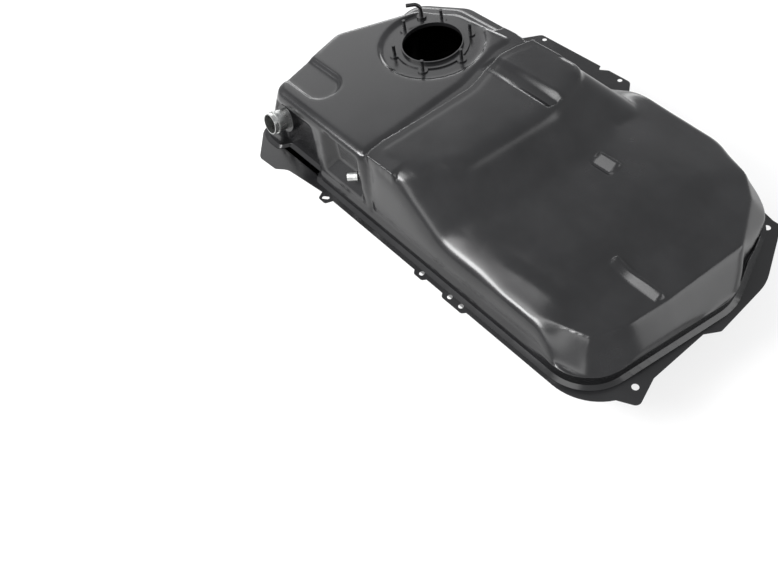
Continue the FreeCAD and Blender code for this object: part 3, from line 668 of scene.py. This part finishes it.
@dataclass
class LowerHalf(Shell):
    """The lower half: its pan, and the wide flange that keeps the solid's crisp outline."""

    def flange(self, material: bpy.types.Material) -> bpy.types.Object:
        """Cut the flange from the solid and close it where the pan was.

        Args:
            material: Its finish.

        Returns:
            The flange as a piece of its own.
        """
        bm = bmesh.new()
        bm.from_mesh(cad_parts[self.node].data)
        bmesh.ops.remove_doubles(bm, verts=bm.verts, dist=0.005 * MM)
        geometry = bm.verts[:] + bm.edges[:] + bm.faces[:]
        level = SEAM_LEVEL - SHEET - 0.1 * MM
        bmesh.ops.bisect_plane(bm, geom=geometry, plane_co=(0, 0, level), plane_no=(0, 0, -1), clear_outer=True)
        bmesh.ops.bridge_loops(bm, edges=[e for e in bm.edges if e.is_boundary])
        piece = new_piece("seam_flange", bm, material)
        piece.data.shade_flat()
        return piece


@dataclass(frozen=True)
class StudioCamera:
    """The photograph's viewpoint."""

    location: tuple = (0.9512, -0.7330, 1.1600)
    right: tuple = (0.6399, 0.7542, -0.1469)
    up: tuple = (-0.5643, 0.5911, 0.5764)
    forward: tuple = (-0.5216, 0.2860, -0.8039)
    lens_mm: float = 37.02
    sensor_mm: float = 36.0

    def place(self) -> None:
        """Add the camera and make it the scene's."""
        data = bpy.data.cameras.new("camera")
        data.lens, data.sensor_width = self.lens_mm, self.sensor_mm
        data.clip_start, data.clip_end = 0.05, 50
        camera = bpy.data.objects.new("camera", data)
        bpy.context.collection.objects.link(camera)
        columns = (Vector(self.right), Vector(self.up), -Vector(self.forward), Vector(self.location))
        camera.matrix_world = Matrix([[c[row] for c in columns] for row in range(3)] + [[0, 0, 0, 1]])
        bpy.context.scene.camera = camera


@dataclass(frozen=True)
class Softbox:
    """A rectangular lamp: where it hangs, where it points, its size in metres and its brightness."""

    name: str
    location: tuple
    target: tuple
    size: tuple
    radiance: float

    def hang(self) -> None:
        """Add the lamp. Its power comes from its brightness and its area."""
        data = bpy.data.lights.new(self.name, "AREA")
        data.shape = "RECTANGLE"
        data.size, data.size_y = self.size
        data.energy = self.radiance * math.pi * self.size[0] * self.size[1]
        lamp = bpy.data.objects.new(self.name, data)
        bpy.context.collection.objects.link(lamp)
        way = Vector(self.target) - Vector(self.location)
        turn = way.to_track_quat("-Z", "Y").to_matrix().to_4x4()
        lamp.matrix_world = Matrix.Translation(self.location) @ turn


class Studio:
    """Pale floor, soft lamps and the camera."""

    lamps = (
        Softbox("filler side", (-0.45, -1.45, 1.55), (0.2, -0.05, 0.15), (1.5, 0.55), 24.0),
        Softbox("near corner", (1.0, -2.3, 1.3), (0.5, -0.2, 0.15), (1.6, 0.8), 3.0),
        Softbox("overhead", (-0.35, -1.3, 2.6), (0.3, -0.05, 0.15), (1.5, 0.8), 6.0),
        Softbox("pump end", (-1.9, 0.9, 1.5), (0.0, 0, 0.15), (1.4, 1.2), 1.3),
        Softbox("rim", (-1.8, 1.7, 0.5), (0.2, 0, 0.2), (2.4, 0.4), 6.0),
        Softbox("shallow end", (2.3, 1.0, 0.9), (0.4, 0, 0.15), (1.6, 1.3), 2.6),
    )

    def build(self) -> None:
        """Set the floor, the lamps, the world and the camera."""
        scene = bpy.context.scene
        scene.view_settings.view_transform = "Standard"
        bm = bmesh.new()
        bmesh.ops.create_grid(bm, x_segments=1, y_segments=1, size=6.0, matrix=Matrix.Translation((0, 0, -0.5 * MM)))
        floor = new_piece("floor", bm, StudioFloor().build())
        for lamp in self.lamps:
            lamp.hang()
        world = bpy.data.worlds.new("studio")
        world.use_nodes = True
        tree = world.node_tree
        soft = tree.nodes["Background"]
        soft.inputs["Color"].default_value = colour("f0f1f3")
        soft.inputs["Strength"].default_value = 0.75
        white = tree.nodes.new("ShaderNodeBackground")
        white.inputs["Color"].default_value = colour("ffffff")
        mix = tree.nodes.new("ShaderNodeMixShader")
        tree.links.new(tree.nodes.new("ShaderNodeLightPath").outputs["Is Camera Ray"], mix.inputs[0])
        tree.links.new(soft.outputs[0], mix.inputs[1])
        tree.links.new(white.outputs[0], mix.inputs[2])
        tree.links.new(mix.outputs[0], tree.nodes["World Output"].inputs["Surface"])
        scene.world = world
        StudioCamera().place()


class Fittings:
    """The small pieces that keep their solids and get their finish."""

    coated = ("pump_mount_ring", "filler_neck_collar", "vent_pipe_boss")
    glossy = ("pump_studs", "vent_pipe", "breather_nipple")
    plated = ("filler_neck", "breather_cap")
    plain = ("baffle_pump_side", "baffle_shallow_side", "pump_pot")

    def dress(self, coat: bpy.types.Material, gloss: bpy.types.Material, plating: bpy.types.Material) -> None:
        """Give each solid its finish."""
        plain = PlainSteel().build()
        for names, material in ((self.coated, coat), (self.glossy, gloss), (self.plated, plating),
                                (self.plain, plain)):
            for name in names:
                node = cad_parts[name]
                node.data.materials.clear()
                node.data.materials.append(material)
                LOG.info("%s keeps its solid", name)


UPPER_PADS = [
    Pad((0.114, 0.026), (0.272, 0.026), 13 * MM, -2 * MM, 18 * MM, 6 * MM, end_rise=-9 * MM),
    Pad((0.369, 0.015), (0.410, 0.015), 13 * MM, 2 * MM, 5 * MM, 6 * MM, lean=-7 * MM),
    Pad((0.522, -0.123), (0.612, -0.126), 10 * MM, 4 * MM, 5 * MM, 5 * MM, lean=-5 * MM),
    Pad((0.400, -0.214), (0.600, -0.197), 12 * MM, -2 * MM, 26 * MM, 60 * MM),
]
UPPER_SOFTS = [
    Soft((0.165, -0.30, 0.14), (0.43, 0.095, 0.30), 60),
    Soft((0.16, -0.30, 0.14), (0.40, -0.19, 0.30), 60),
    Soft((0.128, -0.30, 0.15), (0.60, -0.235, 0.30), 40),
]


def main() -> None:
    """Build the tank's looks and the studio round it."""
    logging.basicConfig(level=logging.INFO)
    coat = DipCoat().build()
    gloss = GlossCoat().build()
    plating = PlatedSteel().build()
    Studio().build()
    Fittings().dress(coat, gloss, plating)
    upper = UpperHalf(Side.UPPER, "upper_shell", punched=UPPER_HOLES, pads=UPPER_PADS, softs=UPPER_SOFTS,
                      seam=SEAM_LEVEL + SHEET)
    settle(upper.sheet(coat, "upper_half"), "upper_shell")
    lower = LowerHalf(Side.LOWER, "lower_shell", seam=SEAM_LEVEL - 0.4 * MM)
    settle(lower.sheet(coat, "lower_half"), "lower_shell")
    settle(lower.flange(coat), "lower_shell")


if __name__ == "__main__":
    main()
